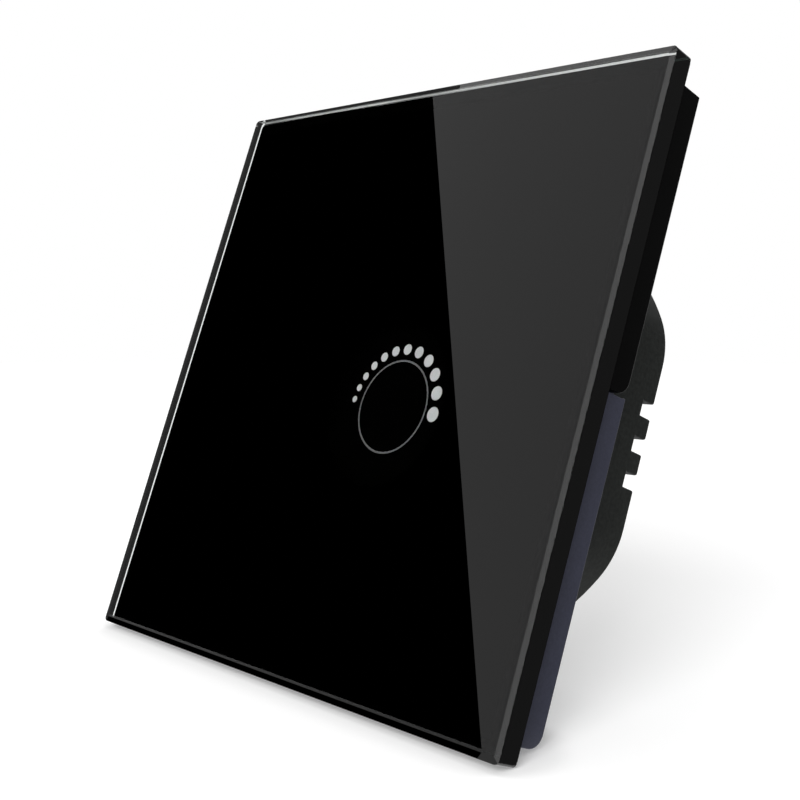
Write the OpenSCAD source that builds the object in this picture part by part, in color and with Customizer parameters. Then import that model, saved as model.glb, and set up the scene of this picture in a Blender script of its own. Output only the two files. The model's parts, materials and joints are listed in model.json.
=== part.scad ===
// Touch light switch with a square glass panel, for a round wall box.
// X runs to the right seen from the front, Y runs into the wall and Z runs up.
// The origin is the middle of the wall plane, on the back of the mounting plate.

/* [Glass panel] */
// Width and height of the glass
panel_w = 80; // [78:0.5:88]
// Thickness of the glass
glass_t = 3; // [2.5:0.1:4]
// Radius of the glass corners
glass_corner_r = 0.6; // [0.2:0.1:2]
// Width of the bevel round the front face
bevel_w = 0.9; // [0.4:0.1:2]
// Depth of that bevel
bevel_d = 0.1; // [0.05:0.05:0.5]
// Width of the ground edge round the back
ground_edge = 0.2; // [0.1:0.05:0.5]
// Thickness of the ink on the back of the glass
print_t = 0.1; // [0.05:0.05:0.15]
// Clear strip between the ink and the edge of the glass
print_inset = 0.2; // [0.2:0.1:1.5]

/* [Touch mark] */
// Middle of the mark, to the right of the panel's middle
mark_x = 8; // [-8:0.5:8]
// Middle of the mark, above the panel's middle
mark_z = -3.6; // [-6:0.2:6]
// Radius of the ring, at the middle of its line
ring_r = 6; // [5:0.1:6.2]
// Width of the ring's line
ring_line = 0.2; // [0.15:0.05:0.6]
// Number of dots round the ring
dot_count = 12; // [6:1:12]
// Radius of the circle that the dots lie on
dot_circle_r = 7.5; // [7.3:0.1:8]
// Diameter of the smallest dot
dot_first_d = 0.85; // [0.6:0.05:1.2]
// Diameter of the largest dot
dot_last_d = 1.9; // [1.4:0.1:2.2]
// Share of a dot's step that is the same for every dot
dot_step = 0.5; // [0.2:0.1:2]
// Angle of the smallest dot, from the right-hand side
dot_start = 176; // [150:1:210]
// Angle that the dots cover
dot_sweep = 180; // [150:5:240]
// Gap between the light ink and the black ink
ink_gap = 0.02; // [0.01:0.01:0.05]

/* [Panel frame] */
// Width and height of the frame behind the glass
frame_w = 76; // [74:0.5:78]
// Distance from the wall to the back of the glass
frame_depth = 5.4; // [5.2:0.1:7]
// Thickness of the foam tape under the glass
tape_t = 0.3; // [0.2:0.1:0.5]
// Width of the foam tape
tape_w = 4; // [2:0.5:4.5]
// Thickness of the panel frame's ring
ring_t = 1.6; // [1.2:0.1:1.8]
// Width of the square window in the ring
ring_window = 61; // [60:0.5:62]
// Thickness of the skirt
skirt_t = 1.6; // [1.2:0.1:2]
// Height at which the skirt ends, above the panel's middle
skirt_end_z = 1.5; // [-8:0.5:12]
// Rounding of the lower back corners of the skirt and the base frame
side_corner_r = 1.8; // [0.5:0.1:2.4]
// Width of a snap tongue
tongue_w = 8; // [5:0.5:12]
// Thickness of a snap tongue
tongue_t = 1.2; // [0.8:0.1:1.3]
// Distance of the snap tongues from the panel's upright centre line
tongue_x = 20; // [12:1:24]
// Distance of a snap tongue from the ring's window
tongue_in = 1.5; // [0.8:0.1:1.6]

/* [Base frame] */
// Thickness of the base frame's side walls
base_wall = 1.9; // [1.2:0.1:2.2]
// Thickness of the base frame's back
base_plate_t = 1.6; // [1.2:0.1:1.8]
// Gap between the panel's sliding faces and the base's
slide_gap = 0.2; // [0.1:0.05:0.3]
// Gap under the end of the skirt
end_gap = 0.3; // [0.2:0.05:0.5]
// Gap between the back of the ink and what stands behind it
seat_gap = 0.1; // [0.05:0.05:0.2]

/* [Mounting plate] */
// Width and height of the steel plate
plate_w = 68; // [66:0.5:68]
// Thickness of the steel plate
plate_t = 0.8; // [0.6:0.1:1]
// Distance between the two wall-box screws
screw_pitch = 60; // [60:0.1:60.6]
// Radius of a wall-box screw hole
screw_hole_r = 1.75; // [1.6:0.05:2]
// Radius of the room for a wall-box screw's head
head_room_r = 3.3; // [3:0.1:3.3]
// Gap round a piece that drops into a recess or a hole
fit_gap = 0.1; // [0.05:0.05:0.2]

/* [Rear housing] */
// Radius of the round body
body_r = 31.2; // [30.5:0.1:32]
// Width of the body across its two flats
body_w = 56; // [54:0.5:56]
// Radius of the blend between a flat and the round
flat_blend_r = 12; // [6:0.5:14]
// Depth of the body behind the wall
body_depth = 18; // [17.5:0.5:26]
// Thickness of the housing's walls
body_wall = 1.8; // [1.4:0.1:2]
// Number of vent notches on a flat
notch_count = 3; // [1:1:4]
// Distance between vent notches
notch_pitch = 4.65; // [4:0.05:5.5]
// Width of a vent notch
notch_w = 1.95; // [1.2:0.05:2.6]
// Depth of a vent notch from the back
notch_d = 2.2; // [2:0.1:3]
// Depth of a vent notch from the flat
notch_in = 3.2; // [2.4:0.1:3.6]
// Sideways and upright distance of a screw boss from the middle
boss_at = 18.2; // [17.5:0.1:18.4]
// Radius of a screw boss
boss_r = 3.2; // [2.8:0.1:3.2]
// Narrowing of the front window against the housing's inside
window_lip = 1.2; // [0.8:0.1:1.4]

/* [Housing screws] */
// Radius of a housing screw's shank
shank_r = 1; // [0.8:0.1:1.2]
// Radius of a housing screw's head
head_r = 2; // [1.6:0.1:2.2]
// Thickness of a housing screw's head
head_t = 1.5; // [1:0.1:2]
// Depth of the head under the housing's back
head_sink = 0.4; // [0.1:0.1:1]
// Gap round a housing screw in the housing
screw_gap = 0.2; // [0.1:0.05:0.3]

/* [Front cover and boards] */
// Thickness of the front cover
cover_t = 1.4; // [1:0.1:1.5]
// Overlap of the front cover on the base frame
cover_lap = 1; // [0.6:0.1:1.1]
// Height of the posts under the front cover
cover_post_h = 1.6; // [1.5:0.1:2]
// Thickness of the boards
board_t = 1.6; // [1:0.1:1.8]
// Gap round the boards
board_gap = 0.6; // [0.3:0.1:0.9]
// Sideways distance of a board post from the middle
post_x = 23; // [22.5:0.1:23]
// Upright distance of a board post from the middle
post_z = 12; // [11.5:0.1:12.5]
// Radius of a board post
post_r = 1.5; // [1.1:0.1:1.5]
// Radius of the clear ring behind the mark
guide_r = 9.2; // [8.6:0.1:9.6]
// Overlap of the clear ring's flange behind the cover
guide_lap = 0.8; // [0.4:0.1:1.2]
// Thickness of that flange
guide_flange_t = 0.5; // [0.3:0.1:0.6]
// Bore of the clear ring
guide_bore_r = 3.8; // [3.4:0.1:4]
// Outer radius of the touch spring
spring_r = 3.2; // [2.6:0.1:3.3]
// Wire diameter of the touch spring
spring_wire = 0.5; // [0.4:0.1:0.8]
// Number of indicator lights
led_count = 4; // [2:1:6]
// Radius of the circle that the indicator lights lie on
led_circle_r = 6.4; // [6:0.1:7]
// Size of an indicator light
led_w = 1.6; // [1:0.1:2]
// Height of an indicator light
led_h = 0.7; // [0.4:0.1:0.8]
// Width of the touch chip
chip_w = 5; // [4:0.5:6]
// Height of the touch chip on its board
chip_h = 1; // [0.6:0.1:1.2]
// Sideways and upright distance of the touch chip from the middle
chip_at = 11; // [9:0.5:13]
// Length of the header between the boards
header_l = 12.7; // [10:0.1:14]
// Width of the header between the boards
header_w = 2.5; // [2:0.1:3]
// Height of the header's place above the middle
header_z = 6; // [4:0.5:10]

/* [Terminals] */
// Distance between two poles
pole_pitch = 5.6; // [5.4:0.1:6]
// Radius of a wire hole
wire_r = 1.25; // [1:0.05:1.3]
// Opening of a wire cage
wire_gap = 3; // [2.8:0.1:3.2]
// Rise of a wire cage from open to closed
clamp_travel = 2.7; // [2:0.1:2.7]
// Width of a wire cage
cage_w = 4; // [3.8:0.1:4.1]
// Length of a wire cage along the wire
cage_l = 5; // [4:0.1:5.5]
// Thickness of a wire cage's sides
cage_side = 0.6; // [0.4:0.05:0.6]
// Thickness of a wire cage's floor and roof
cage_floor = 0.8; // [0.6:0.1:0.9]
// Gap round a wire cage in its chamber
cage_gap = 0.2; // [0.1:0.05:0.25]
// Width of a contact bar
bar_w = 2.2; // [1.8:0.1:2.3]
// Thickness of a contact bar
bar_t = 0.8; // [0.6:0.1:0.9]
// Gap round a contact bar
bar_gap = 0.1; // [0.05:0.05:0.15]
// Radius of a terminal screw's shank
clamp_screw_r = 1.25; // [1:0.05:1.3]
// Running gap of a terminal screw in its cage
thread_gap = 0.05; // [0.03:0.01:0.08]
// Radius of a terminal screw's head
clamp_head_r = 1.9; // [1.7:0.1:2]
// Thickness of a terminal screw's head
clamp_head_t = 1.5; // [1.2:0.1:1.7]
// Width of the slot in a terminal screw's head
slot_w = 0.6; // [0.4:0.1:0.9]
// Depth of the slot in a terminal screw's head
slot_d = 0.8; // [0.4:0.1:1]
// Thickness of the block's wall under a screw head
seat_t = 0.8; // [0.6:0.1:1]
// Thickness of the block's outer walls and floor
block_wall = 0.6; // [0.5:0.1:0.7]
// Length of a wire hole
mouth_l = 3; // [2:0.1:3.5]
// Length of the block behind the chambers
block_back = 3; // [2:0.1:3.5]

/* [Parts on the power board] */
// Width of the heat sink
sink_w = 26; // [22:0.5:27]
// Length of the heat sink
sink_l = 16; // [14:0.5:16]
// Thickness of the heat sink
sink_t = 1.5; // [1:0.1:1.6]
// Height of the heat sink over the power board
sink_h = 8.6; // [7:0.1:8.7]
// Lower edge of the heat sink, above the middle
sink_z = 8; // [7.5:0.1:8.5]
// Width of the triac
triac_w = 10; // [8:0.5:11]
// Length of the triac's body
triac_l = 9; // [8:0.1:9.4]
// Thickness of the triac's body
triac_t = 4.4; // [3.5:0.1:4.6]
// Thickness of the triac's tab
tab_t = 1.3; // [0.8:0.1:1.4]
// Length of the triac's tab
tab_l = 6; // [5.8:0.1:6.2]
// Radius of the triac's screw
triac_screw_r = 1.5; // [1.2:0.1:1.6]
// Width across the flats of the triac's nut
nut_w = 5.5; // [4.5:0.1:5.5]
// Outer diameter of the choke
choke_d = 15; // [12:0.5:15]
// Thickness of the choke's ring
choke_ring = 4; // [3:0.1:5]
// Height of the choke
choke_h = 7; // [5:0.1:9]
// Width of the film capacitor
film_w = 6; // [4:0.5:7]
// Length of the film capacitor
film_l = 13; // [10:0.5:13]
// Height of the film capacitor
film_h = 10; // [8:0.1:11]
// Diameter of the electrolytic capacitor
can_d = 8; // [6:0.5:8]
// Height of the electrolytic capacitor
can_h = 10; // [7:0.1:11]
// Diameter of the varistor
varistor_d = 9; // [7:0.5:9]
// Thickness of the varistor
varistor_t = 3.6; // [2.5:0.1:3.8]
// Diameter of the fuse
fuse_d = 8.4; // [6:0.1:8.5]
// Height of the fuse
fuse_h = 8; // [6:0.1:9]

/* [Hidden] */
$fn = 96;

// Room that a cut takes past the face it opens
cut = 1;
pole_count = 3;

// Places along Y, from the glass to the wall plane
glass_y1 = -frame_depth;
glass_y0 = glass_y1 - glass_t;
print_y = glass_y1 + print_t;
ring_y0 = print_y + tape_t;
ring_y1 = ring_y0 + ring_t;
seat_y = print_y + seat_gap;
base_y = -plate_t - base_plate_t;
cover_y = base_y - cover_t;

// Outlines of the housing's inside and of the window through the base and the plate
inner_r = body_r - body_wall;
inner_flat = body_w / 2 - body_wall;
window_r = inner_r - window_lip;
window_flat = inner_flat - window_lip;

// Places along Y behind the wall plane, from the housing's back towards the front
rear_y = body_depth - body_wall;
block_y1 = rear_y - cage_gap;
clamp_head_y1 = block_y1 - cage_gap;
clamp_head_y0 = clamp_head_y1 - clamp_head_t;
seat_hole_y = clamp_head_y0 - thread_gap;
chamber_y1 = seat_hole_y - seat_t;
cage_h = 2 * cage_floor + wire_gap + bar_t + bar_gap;
cage_y1 = chamber_y1 - cage_gap - clamp_travel;
cage_y0 = cage_y1 - cage_h;
bar_y1 = cage_y1 - cage_floor - bar_gap;
bar_y0 = bar_y1 - bar_t;
wire_y = cage_y0 + cage_floor + wire_gap / 2;
chamber_y0 = cage_y0 - bar_gap;
block_y0 = chamber_y0 - block_wall;
power_y1 = block_y0;
power_y0 = power_y1 - board_t;
touch_y0 = base_y + cover_post_h;
touch_y1 = touch_y0 + board_t;

// Places of the terminal block across the board
block_w = pole_count * pole_pitch + 2 * block_wall;
block_z0 = block_wall - sqrt(inner_r * inner_r - block_w * block_w / 4);
chamber_z0 = block_z0 + mouth_l;
chamber_z1 = chamber_z0 + cage_l + 2 * cage_gap;
block_z1 = chamber_z1 + block_back;
clamp_z = (chamber_z0 + chamber_z1) / 2;
function pole_x(i) = (i - (pole_count + 1) / 2) * pole_pitch;

// Places of the parts on the power board
sink_y0 = power_y1 + sink_h;
sink_y1 = sink_y0 + sink_t;
part_gap = 1;
triac_z0 = sink_z + part_gap / 2;
triac_z1 = triac_z0 + triac_l;
tab_hole_z = triac_z1 + nut_w / 2 + fit_gap;
film_x = fuse_d / 2 + 4 * part_gap + film_w / 2;
film_z = sink_z - 5 * part_gap - film_l / 2;
can_x = film_x + film_w / 2 + 2 * part_gap + can_d / 2;
can_z = -can_d / 2;
varistor_x = can_x - part_gap;
varistor_z = can_z + can_d / 2 + 2 * part_gap + varistor_d / 2;
choke_x = -fuse_d / 2 - 3 * part_gap - choke_d / 2;
choke_z = can_z;
fuse_z = can_z - part_gap;

// Size and place of the growing dots: a dot's step follows the sizes of its two neighbours
function dot_d(i) = dot_first_d + (dot_last_d - dot_first_d) * i / (dot_count - 1);
function dot_way(i) = i == 0 ? 0 : dot_way(i - 1) + dot_d(i - 1) + dot_d(i) + 2 * dot_step;
function dot_angle(i) = dot_start - dot_sweep * dot_way(i) / dot_way(dot_count - 1);

// Extrudes an outline in X and Z from y0 to y1
module slab(y0, y1) {
    translate([0, y1, 0])
        rotate([90, 0, 0])
            linear_extrude(y1 - y0)
                children();
}

// Round bar along Y
module rod(x, z, r, y0, y1) {
    translate([x, y0, z])
        rotate([-90, 0, 0])
            cylinder(r = r, h = y1 - y0);
}

// Box by its middle in X and Z and its two ends along Y
module brick(x, z, w, h, y0, y1) {
    translate([x - w / 2, y0, z - h / 2])
        cube([w, y1 - y0, h]);
}

// Square with round corners
module rounded_square(w, r) {
    square([w - 2 * r, w], center = true);
    square([w, w - 2 * r], center = true);
    for (x = [-1, 1])
        for (z = [-1, 1])
            translate([x * (w / 2 - r), z * (w / 2 - r)])
                circle(r);
}

// Round outline with two upright flats
module flatted_circle(r, flat) {
    intersection() {
        circle(r);
        square([2 * flat, 2 * r], center = true);
    }
}

// The same outline with its four corners blended
module blended_circle(r, flat, blend_r) {
    blend_x = flat - blend_r;
    blend_z = sqrt((r - blend_r) * (r - blend_r) - blend_x * blend_x);
    difference() {
        flatted_circle(r, flat);
        for (x = [-1, 1])
            for (z = [-1, 1])
                translate([x * blend_x, z * blend_z])
                    difference() {
                        polygon([[0, 0], [2 * x * blend_x, 0], [2 * x * blend_x, 2 * z * blend_z]]);
                        circle(blend_r);
                    }
    }
}

// Side view in Y and Z, with its lower back corner rounded, drawn out along X
module side_form(w, y0, y1, z0, z1, r) {
    rotate([90, 0, 90])
        linear_extrude(w, center = true)
            difference() {
                translate([y0, z0])
                    square([y1 - y0, z1 - z0]);
                difference() {
                    translate([y1 - r, z0])
                        square([r, r]);
                    translate([y1 - r, z0 + r])
                        circle(r);
                }
            }
}

// Repeats its children at the four screw bosses
module at_bosses() {
    for (x = [-boss_at, boss_at])
        for (z = [-boss_at, boss_at])
            translate([x, 0, z])
                children();
}

// Repeats its children at the four board posts
module at_posts() {
    for (x = [-post_x, post_x])
        for (z = [-post_z, post_z])
            translate([x, 0, z])
                children();
}

// Repeats its children at the four snap tongues
module at_tongues() {
    tongue_z = (ring_window + tongue_t) / 2 + tongue_in;
    for (x = [-tongue_x, tongue_x])
        for (z = [-tongue_z, tongue_z])
            translate([x, 0, z])
                children();
}

// Repeats its children at the two wall-box screws
module at_wall_screws() {
    for (x = [-screw_pitch / 2, screw_pitch / 2])
        translate([x, 0, 0])
            children();
}

// Ring and dots of the mark, widened by a margin, seen from the front
module mark_outline(margin) {
    translate([mark_x, mark_z]) {
        difference() {
            circle(ring_r + ring_line / 2 + margin);
            circle(ring_r - ring_line / 2 - margin);
        }
        for (i = [0:dot_count - 1])
            rotate(dot_angle(i))
                translate([dot_circle_r, 0])
                    circle(dot_d(i) / 2 + margin);
    }
}

// Clear glass with a narrow bevel round its front and a ground edge round its back
module glass_panel() {
    color("#1a1d1e")
        difference() {
            slab(glass_y0, glass_y1)
                rounded_square(panel_w, glass_corner_r);
            for (side = [0:90:270])
                rotate([0, side, 0])
                    translate([0, glass_y0, panel_w / 2])
                        rotate([90, 0, 90])
                            linear_extrude(panel_w + 2 * cut, center = true)
                                polygon([
                                    [-bevel_d, -2 * bevel_w],
                                    [2 * bevel_d, bevel_w],
                                    [-bevel_d, bevel_w]
                                ]);
            for (side = [0:90:270])
                rotate([0, side, 0])
                    translate([0, glass_y1, panel_w / 2])
                        rotate([90, 0, 90])
                            linear_extrude(panel_w + 2 * cut, center = true)
                                polygon([
                                    [-2 * ground_edge, ground_edge],
                                    [ground_edge, -2 * ground_edge],
                                    [ground_edge, ground_edge]
                                ]);
        }
}

// Black ink on the back of the glass, open where the mark shows
module panel_print() {
    color("#050505")
        slab(glass_y1, print_y)
            difference() {
                rounded_square(panel_w - 2 * print_inset, glass_corner_r);
                mark_outline(0);
            }
}

// Light grey ink of the ring and the dots
module touch_mark() {
    color("#b4b4b4")
        slab(glass_y1, print_y)
            mark_outline(-ink_gap);
}

// Foam tape round the window of the panel frame
module panel_tape() {
    color("#202020")
        slab(print_y, ring_y0)
            difference() {
                square(ring_window + 2 * tape_w, center = true);
                square(ring_window, center = true);
            }
}

// Volume of the skirt and the ring's upper half, drawn out across the frame
module skirt_form(margin) {
    side_form(
        frame_w + 2 * cut * sign(margin),
        ring_y0 - 2 * cut * sign(margin),
        cut * sign(margin),
        skirt_end_z - margin,
        frame_w / 2 + cut * sign(margin),
        side_corner_r
    );
}

// Black plastic frame: a ring under the glass, a skirt over the upper half and four snap tongues
module panel_frame() {
    lower_w = frame_w - 2 * (base_wall + end_gap);
    color("#0a0a0a") {
        difference() {
            union() {
                skirt_form(0);
                slab(ring_y0, ring_y1)
                    square(lower_w, center = true);
            }
            slab(ring_y1, cut)
                translate([0, -skirt_t / 2])
                    square([frame_w - 2 * skirt_t, frame_w - skirt_t + cut], center = true);
            slab(ring_y0 - cut, ring_y1 + cut)
                square(ring_window, center = true);
        }
        at_tongues()
            brick(0, 0, tongue_w, tongue_t, ring_y1, -plate_t - end_gap);
    }
}

// Base frame: side walls that show below the skirt, a back plate with the window, and four screw lugs
module base_frame() {
    upper_w = frame_w - 2 * (skirt_t + slide_gap);
    color("#333440")
        difference() {
            union() {
                difference() {
                    side_form(frame_w, seat_y, 0, -frame_w / 2, frame_w / 2, side_corner_r);
                    difference() {
                        skirt_form(end_gap);
                        slab(ring_y1 + slide_gap, 2 * cut)
                            square(upper_w, center = true);
                    }
                    slab(seat_y - cut, base_y)
                        base_room(upper_w);
                    slab(-plate_t, cut)
                        square(plate_w + 2 * fit_gap, center = true);
                    slab(base_y - cut, 0)
                        flatted_circle(window_r, window_flat);
                }
                at_bosses()
                    rod(0, 0, boss_r, cover_y, -plate_t);
            }
            at_bosses()
                rod(0, 0, shank_r + ink_gap, cover_y - cut, 0);
            at_wall_screws()
                rod(0, 0, head_room_r, base_y - cut, 0);
            at_tongues()
                brick(0, 0, tongue_w + 2 * slide_gap, tongue_t + 2 * slide_gap, base_y - cut, 0);
        }
}

// Inside of the base frame's walls: wider below the skirt's end
module base_room(upper_w) {
    lower_w = frame_w - 2 * base_wall;
    intersection() {
        square(lower_w, center = true);
        translate([-lower_w / 2, -lower_w])
            square([lower_w, lower_w + skirt_end_z - end_gap]);
    }
    square(upper_w - 2 * base_wall, center = true);
}

// Steel plate between the base frame and the rear housing, which the wall-box screws hold
module mounting_plate() {
    color("#a9adb0")
        slab(-plate_t, 0)
            difference() {
                union() {
                    difference() {
                        square(plate_w, center = true);
                        flatted_circle(window_r, window_flat);
                    }
                    boss_circles(boss_r);
                }
                boss_circles(shank_r + screw_gap);
                for (x = [-screw_pitch / 2, screw_pitch / 2])
                    translate([x, 0])
                        circle(screw_hole_r);
            }
}

// Circles at the four screw bosses
module boss_circles(r) {
    for (x = [-boss_at, boss_at])
        for (z = [-boss_at, boss_at])
            translate([x, z])
                circle(r);
}

// Inner cover over the window, with posts that hold the touch board down
module front_cover() {
    color("#161616") {
        slab(cover_y, base_y)
            difference() {
                flatted_circle(window_r + cover_lap, window_flat + cover_lap);
                boss_circles(boss_r + fit_gap);
                translate([mark_x, mark_z])
                    circle(guide_r + fit_gap);
            }
        at_posts()
            rod(0, 0, post_r, base_y, touch_y0);
    }
}

// Clear ring behind the mark, flanged behind the cover
module light_guide() {
    color("#dfe6e8")
        difference() {
            union() {
                rod(mark_x, mark_z, guide_r, seat_y, base_y);
                rod(mark_x, mark_z, guide_r + guide_lap, base_y, base_y + guide_flange_t);
            }
            rod(mark_x, mark_z, guide_bore_r, seat_y - cut, base_y + guide_flange_t + cut);
        }
}

// Sensor board behind the front cover
module touch_board() {
    color("#1d5a34")
        slab(touch_y0, touch_y1)
            difference() {
                flatted_circle(window_r - board_gap, window_flat - board_gap);
                boss_circles(boss_r + board_gap);
            }
}

// Coil electrode from the touch board to the back of the glass, as the tube that its turns fill
module touch_spring() {
    color("#c8c6c0")
        difference() {
            rod(mark_x, mark_z, spring_r, seat_y, touch_y0);
            rod(mark_x, mark_z, spring_r - spring_wire, seat_y - cut, touch_y0 + cut);
        }
}

// Sensor chip on the front of the touch board
module touch_chip() {
    color("#151515")
        brick(-chip_at, -chip_at, chip_w, chip_w, touch_y0 - chip_h, touch_y0);
}

// Lights round the touch spring, under the clear ring
module indicator_leds() {
    color("#f2efe2")
        for (i = [0:led_count - 1])
            translate([mark_x, 0, mark_z])
                rotate([0, 45 + i * 360 / led_count, 0])
                    brick(led_circle_r, 0, led_w, led_w, touch_y0 - led_h, touch_y0);
}

// Header that carries the signals from the touch board to the power board
module board_header() {
    color("#1b1b1b")
        brick(-chip_at, header_z, header_l, header_w, touch_y1, power_y0);
}

// Four sleeves between the two boards
module board_spacers() {
    color("#e6e4da")
        at_posts()
            rod(0, 0, post_r, touch_y1, power_y0);
}

// Mains board that fills the housing
module power_board() {
    color("#22643c")
        slab(power_y0, power_y1)
            difference() {
                flatted_circle(inner_r - board_gap, inner_flat - board_gap);
                boss_circles(boss_r + board_gap);
            }
}

// Triac that lies flat under the heat sink, with its tab against it and three bent leads
module triac() {
    lead_w = 0.8;
    lead_pitch = 2.54;
    lead_y = sink_y0 - triac_t / 2;
    lead_l = 2;
    color("#1a1a1a") {
        difference() {
            union() {
                brick(0, (triac_z0 + triac_z1) / 2, triac_w, triac_l, sink_y0 - triac_t, sink_y0);
                brick(0, triac_z1 + tab_l / 2, triac_w, tab_l, sink_y0 - tab_t, sink_y0);
            }
            rod(0, tab_hole_z, triac_screw_r + fit_gap, sink_y0 - triac_t - cut, sink_y0 + cut);
        }
        for (x = [-lead_pitch, 0, lead_pitch]) {
            brick(x, triac_z0 - lead_l / 2, lead_w, lead_l, lead_y, lead_y + lead_w / 2);
            brick(x, triac_z0 - lead_l, lead_w, lead_w / 2, power_y1, lead_y + lead_w / 2);
        }
    }
}

// Aluminium plate on two legs over the power board
module heat_sink() {
    leg_l = sink_l / 2;
    color("#c3c7ca")
        difference() {
            union() {
                brick(0, sink_z + sink_l / 2, sink_w, sink_l, sink_y0, sink_y1);
                for (x = [-1, 1])
                    brick(x * (sink_w - sink_t) / 2, sink_z + leg_l / 2, sink_t, leg_l, power_y1, sink_y1);
            }
            rod(0, tab_hole_z, triac_screw_r + fit_gap, sink_y0 - cut, sink_y1 + cut);
        }
}

// Screw and nut that hold the triac against the heat sink
module triac_screw() {
    head_h = 1.2;
    nut_h = 2.2;
    nut_y0 = sink_y0 - tab_t - nut_h;
    color("#b9bcc0") {
        rod(0, tab_hole_z, triac_screw_r, nut_y0, sink_y1 + head_h);
        rod(0, tab_hole_z, nut_w / 2, sink_y1, sink_y1 + head_h);
        brick(0, tab_hole_z, nut_w, nut_w, nut_y0, nut_y0 + nut_h);
    }
}

// Ring choke that quiets the triac
module choke() {
    color("#7d4a22")
        difference() {
            rod(choke_x, choke_z, choke_d / 2, power_y1, power_y1 + choke_h);
            rod(choke_x, choke_z, choke_d / 2 - choke_ring, power_y1 - cut, power_y1 + choke_h + cut);
        }
}

// Film capacitor in its moulded case
module film_capacitor() {
    color("#b98a2a")
        brick(film_x, film_z, film_w, film_l, power_y1, power_y1 + film_h);
}

// Electrolytic capacitor, an upright can with a rolled neck
module electrolytic_capacitor() {
    neck = 0.4;
    neck_at = 1.2;
    color("#2b2f3a")
        difference() {
            rod(can_x, can_z, can_d / 2, power_y1, power_y1 + can_h);
            difference() {
                rod(can_x, can_z, can_d, power_y1 + neck_at, power_y1 + neck_at + neck);
                rod(can_x, can_z, can_d / 2 - neck, power_y1, power_y1 + can_h);
            }
        }
}

// Varistor, an upright disc on two leads
module varistor() {
    lead_r = 0.3;
    lead_h = 0.8;
    lead_at = varistor_d / 3;
    color("#2d5fa3") {
        translate([varistor_x - varistor_t / 2, power_y1 + lead_h + varistor_d / 2, varistor_z])
            rotate([0, 90, 0])
                cylinder(d = varistor_d, h = varistor_t);
        for (z = [-lead_at, lead_at])
            rod(varistor_x, varistor_z + z, lead_r, power_y1, power_y1 + lead_h + varistor_d / 2);
    }
}

// Fuse in a round case
module fuse() {
    color("#3a2a22")
        rod(0, fuse_z, fuse_d / 2, power_y1, power_y1 + fuse_h);
}

// Block with a chamber, a wire hole and a screw well for each pole
module terminal_block() {
    chamber_l = chamber_z1 - chamber_z0;
    color("#2f3236")
        difference() {
            brick(0, (block_z0 + block_z1) / 2, block_w, block_z1 - block_z0, block_y0, block_y1);
            for (i = [1:pole_count])
                translate([pole_x(i), 0, 0]) {
                    brick(0, clamp_z, cage_w + 2 * cage_gap, chamber_l, chamber_y0, chamber_y1);
                    translate([0, wire_y, block_z0 - cut])
                        cylinder(r = wire_r, h = mouth_l + 2 * cut);
                    brick(0, block_z1, bar_w + 2 * bar_gap, 2 * block_back + cut, bar_y0 - bar_gap, bar_y1 + bar_gap);
                    rod(0, clamp_z, clamp_screw_r + cage_gap, chamber_y1 - cut, seat_hole_y + cut);
                    rod(0, clamp_z, clamp_head_r + cage_gap, seat_hole_y, block_y1 + cut);
                }
        }
}

// Contact bars that run through the wire cages and down to the power board
module contact_bars() {
    tail_z = block_z1 + 2 * bar_t;
    start_z = chamber_z0 + cage_gap;
    color("#c9a35a")
        for (i = [1:pole_count])
            translate([pole_x(i), 0, 0]) {
                brick(0, (start_z + tail_z) / 2, bar_w, tail_z - start_z, bar_y0, bar_y1);
                brick(0, tail_z - bar_t / 2, bar_w, bar_t, power_y1, bar_y1);
            }
}

// Slotted terminal screw, which stays where it is and draws its cage up
module terminal_screw(i) {
    color("#d0d2d4")
        difference() {
            union() {
                rod(pole_x(i), clamp_z, clamp_screw_r, bar_y1 + thread_gap, clamp_head_y0 + cut / 2);
                rod(pole_x(i), clamp_z, clamp_head_r, clamp_head_y0, clamp_head_y1);
            }
            brick(pole_x(i), clamp_z, 2 * clamp_head_r + cut, slot_w,
                clamp_head_y1 - slot_d, clamp_head_y1 + cut);
        }
}

// Open brass frame round the contact bar and the wire
module wire_cage(i) {
    color("#c7a24e")
        difference() {
            brick(pole_x(i), clamp_z, cage_w, cage_l, cage_y0, cage_y1);
            brick(pole_x(i), clamp_z, cage_w - 2 * cage_side, cage_l + cut,
                cage_y0 + cage_floor, cage_y1 - cage_floor);
            rod(pole_x(i), clamp_z, clamp_screw_r + thread_gap, cage_y1 - cage_floor - cut, cage_y1 + cut);
        }
}

// Round housing with two flats, vent notches, screw bosses and a window for the wires
module rear_housing() {
    head_y = body_depth - head_sink - head_t;
    wire_window_w = block_w - 2 * block_wall;
    wire_window_h = wire_gap + 2 * cage_floor;
    color("#232523")
        difference() {
            union() {
                difference() {
                    slab(0, body_depth)
                        blended_circle(body_r, body_w / 2, flat_blend_r);
                    slab(-cut, rear_y)
                        flatted_circle(inner_r, inner_flat);
                }
                at_bosses()
                    rod(0, 0, boss_r, 0, body_depth - body_wall / 2);
                at_posts()
                    rod(0, 0, post_r, power_y1, body_depth - body_wall / 2);
            }
            at_bosses()
                rod(0, 0, shank_r + screw_gap, -cut, body_depth + cut);
            at_bosses()
                rod(0, 0, head_r + screw_gap, head_y, body_depth + cut);
            for (i = [1:pole_count])
                rod(pole_x(i), clamp_z, clamp_head_r + screw_gap, rear_y - cut, body_depth + cut);
            brick(0, -body_r, wire_window_w, body_r, wire_y - wire_window_h / 2, wire_y + wire_window_h / 2);
            for (side = [-1, 1])
                for (i = [0:notch_count - 1])
                    brick(side * body_w / 2, (i - (notch_count - 1) / 2) * notch_pitch,
                        2 * notch_in, notch_w, body_depth - notch_d, body_depth + cut);
        }
}

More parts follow.
